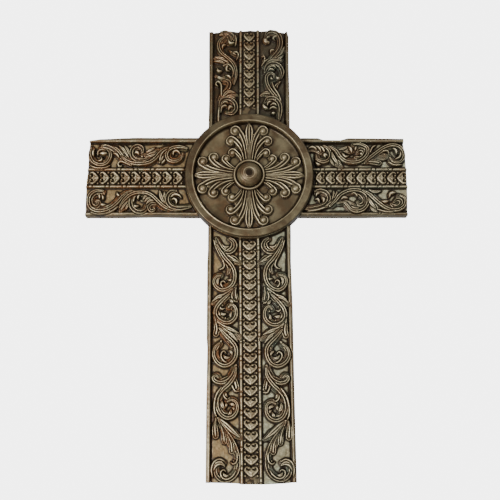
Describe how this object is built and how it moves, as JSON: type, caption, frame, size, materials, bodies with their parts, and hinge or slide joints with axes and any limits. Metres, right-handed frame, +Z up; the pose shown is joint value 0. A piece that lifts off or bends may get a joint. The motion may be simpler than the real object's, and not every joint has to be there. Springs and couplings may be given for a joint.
{
  "type": "wall cross",
  "caption": "Wall-hung Latin cross cast in antique-bronze resin, with scrolled arms, strips of small hearts and a raised ring around a rosette.",
  "frame": {"origin": "on the flat back, behind the middle of the ring", "axes": "+Z up along the upright, +X to the right as one faces the carved front, +Y out of the back towards the wall"},
  "size_m": [0.3213, 0.0265, 0.457],
  "materials": {
    "antique_bronze": "cast resin with an antique bronze finish: near-black glaze in the hollows, rubbed warm metal on the raised carving"
  },
  "bodies": {
    "root": {"cross": "antique_bronze"}
  },
  "joints": []
}
